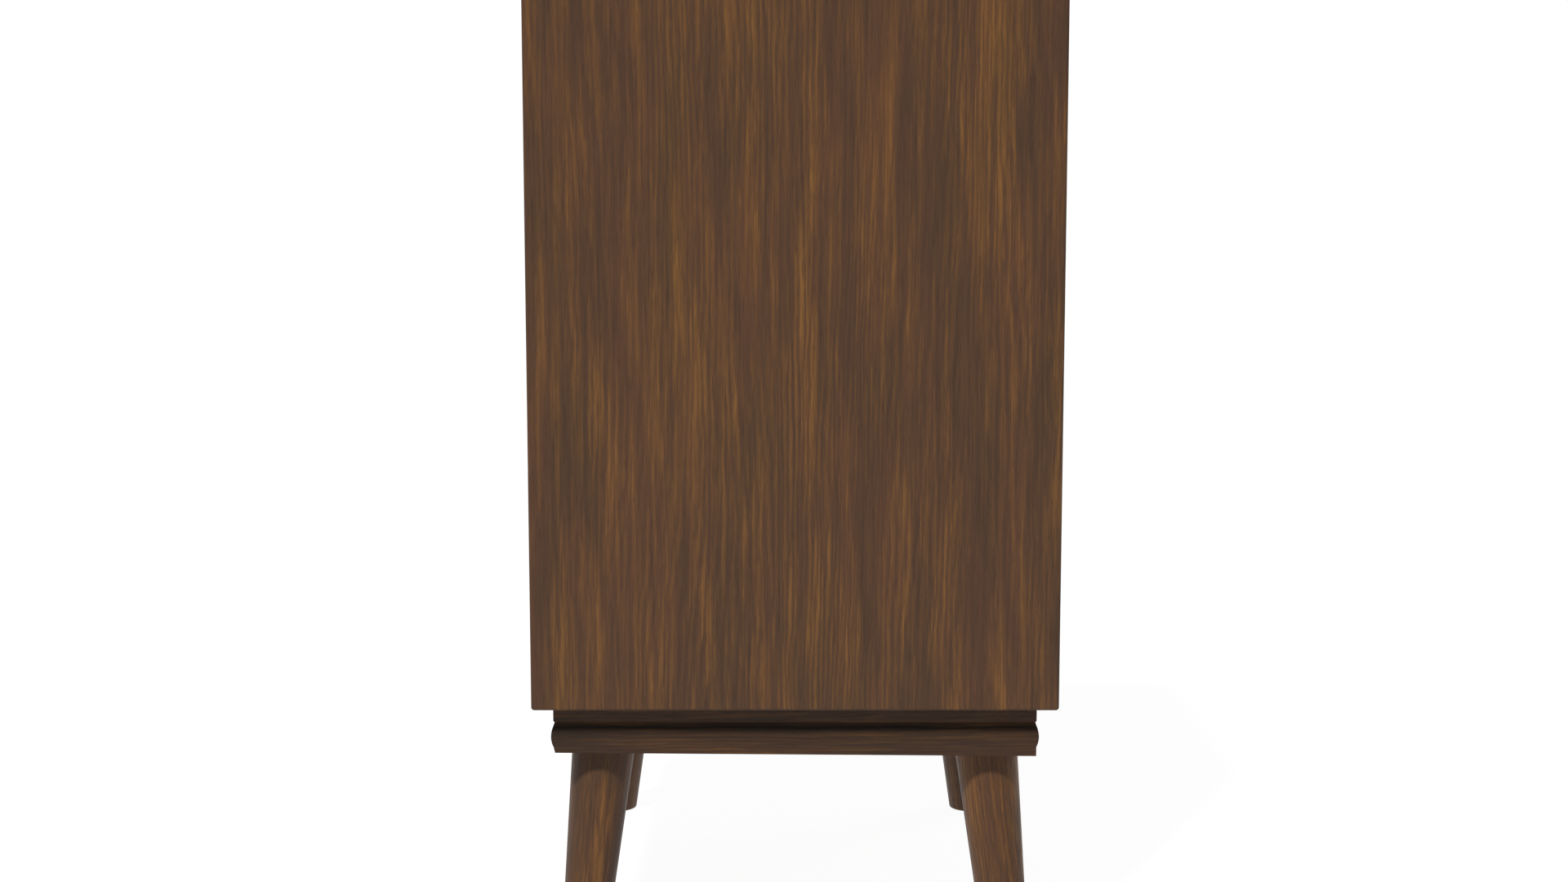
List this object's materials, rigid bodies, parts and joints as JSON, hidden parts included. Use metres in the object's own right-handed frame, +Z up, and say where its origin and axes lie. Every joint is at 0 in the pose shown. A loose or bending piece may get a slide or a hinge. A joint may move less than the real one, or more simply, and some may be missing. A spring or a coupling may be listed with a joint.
{
  "type": "console television",
  "caption": "Console television in a walnut case on splayed tapered legs, with a framed screen, knobs beside a drop-down flap, a slatted speaker grille and a vented back.",
  "frame": {"origin": "on the floor, under the middle of the case", "axes": "+Z up, -Y the front with the screen, +X to the right of someone who faces the screen"},
  "size_m": [0.47, 0.45, 0.8695],
  "materials": {
    "walnut": "satin walnut veneer and solid walnut",
    "plinth_walnut": "satin dark walnut",
    "block_wood": "raw softwood",
    "plywood": "raw birch plywood",
    "hardboard": "pressed hardboard",
    "zinc_steel": "zinc plated",
    "nylon": "moulded nylon",
    "mask_moulding": "moulded cream",
    "well_plastic": "moulded brown",
    "clear_glass": "polished",
    "tube_glass": "grey face plate",
    "valve_glass": "clear",
    "brass": "satin",
    "gilt_aluminium": "brushed and gold anodised",
    "knob_plastic": "polished brown",
    "shaft_steel": "turned",
    "pot_steel": "plated",
    "can_aluminium": "drawn",
    "phenolic": "moulded phenolic",
    "yoke_plastic": "moulded",
    "speaker_paper": "pressed paper",
    "magnet_metal": "painted",
    "core_paint": "lacquered laminations",
    "grille_fabric": "woven with a gold thread",
    "lead_rubber": "covered wire"
  },
  "bodies": {
    "cabinet": {"aerial_terminals": "phenolic", "back_cover": "hardboard", "back_left_leg": "walnut", "back_rail": "plinth_walnut", "back_right_leg": "walnut", "bottom_panel": "walnut", "capacitor_cans": "can_aluminium", "chassis_pan": "zinc_steel", "chassis_shelf": "plywood", "cleats_and_posts": "block_wood", "control_escutcheon": "gilt_aluminium", "control_pots": "pot_steel", "control_well": "well_plastic", "corner_blocks": "block_wood", "deflection_yoke": "yoke_plastic", "electron_gun": "zinc_steel", "foot_glides": "nylon", "front_baffle": "plywood", "front_left_leg": "walnut", "front_rail": "plinth_walnut", "front_right_leg": "walnut", "glass_frame": "brass", "grille_cloth": "grille_fabric", "grille_frame": "walnut", "grille_slats": "walnut", "internal_leads": "lead_rubber", "left_rail": "plinth_walnut", "left_side_panel": "walnut", "leg_bolts": "zinc_steel", "line_transformer": "core_paint", "mains_inlet": "phenolic", "picture_tube": "tube_glass", "power_transformer": "core_paint", "right_rail": "plinth_walnut", "right_side_panel": "walnut", "safety_glass": "clear_glass", "screen_mask": "mask_moulding", "speaker_basket": "zinc_steel", "speaker_cone": "speaker_paper", "speaker_magnet": "magnet_metal", "top_panel": "walnut", "tube_base": "phenolic", "tube_bolts": "zinc_steel", "tube_socket": "phenolic", "tube_strap": "zinc_steel", "tuner_box": "zinc_steel", "valve_sockets": "phenolic", "valves": "valve_glass", "wood_screws": "zinc_steel"},
    "channel": {"channel_knob": "knob_plastic", "tuner_turret": "shaft_steel"},
    "fine_tuning": {"fine_tuning_ring": "knob_plastic", "fine_tuning_sleeve": "shaft_steel"},
    "volume": {"volume_knob": "knob_plastic", "volume_shaft": "shaft_steel"},
    "brightness": {"brightness_knob": "knob_plastic"},
    "contrast": {"contrast_knob": "knob_plastic"},
    "vertical_hold": {"vertical_hold_knob": "knob_plastic"},
    "horizontal_hold": {"horizontal_hold_knob": "knob_plastic"},
    "door": {"control_door": "gilt_aluminium"}
  },
  "joints": [
    {"name": "channel_turn", "type": "hinge", "parent": "cabinet", "child": "channel", "pos_m": [0.15, -0.19, 0.4705], "axis": [0, 1, 0], "continuous": true},
    {"name": "fine_tuning_turn", "type": "hinge", "parent": "cabinet", "child": "fine_tuning", "pos_m": [0.15, -0.19, 0.4705], "axis": [0, 1, 0], "range_deg": [-150, 150]},
    {"name": "volume_turn", "type": "hinge", "parent": "cabinet", "child": "volume", "pos_m": [-0.15, -0.19, 0.4705], "axis": [0, 1, 0], "range_deg": [0, 300]},
    {"name": "brightness_turn", "type": "hinge", "parent": "cabinet", "child": "brightness", "pos_m": [-0.051, -0.19, 0.4705], "axis": [0, 1, 0], "range_deg": [-135, 135]},
    {"name": "contrast_turn", "type": "hinge", "parent": "cabinet", "child": "contrast", "pos_m": [-0.017, -0.19, 0.4705], "axis": [0, 1, 0], "range_deg": [-135, 135]},
    {"name": "vertical_hold_turn", "type": "hinge", "parent": "cabinet", "child": "vertical_hold", "pos_m": [0.017, -0.19, 0.4705], "axis": [0, 1, 0], "range_deg": [-135, 135]},
    {"name": "horizontal_hold_turn", "type": "hinge", "parent": "cabinet", "child": "horizontal_hold", "pos_m": [0.051, -0.19, 0.4705], "axis": [0, 1, 0], "range_deg": [-135, 135]},
    {"name": "door_hinge", "type": "hinge", "parent": "cabinet", "child": "door", "pos_m": [0, -0.1998, 0.4519], "axis": [1, 0, 0], "range_deg": [0, 95]}
  ]
}
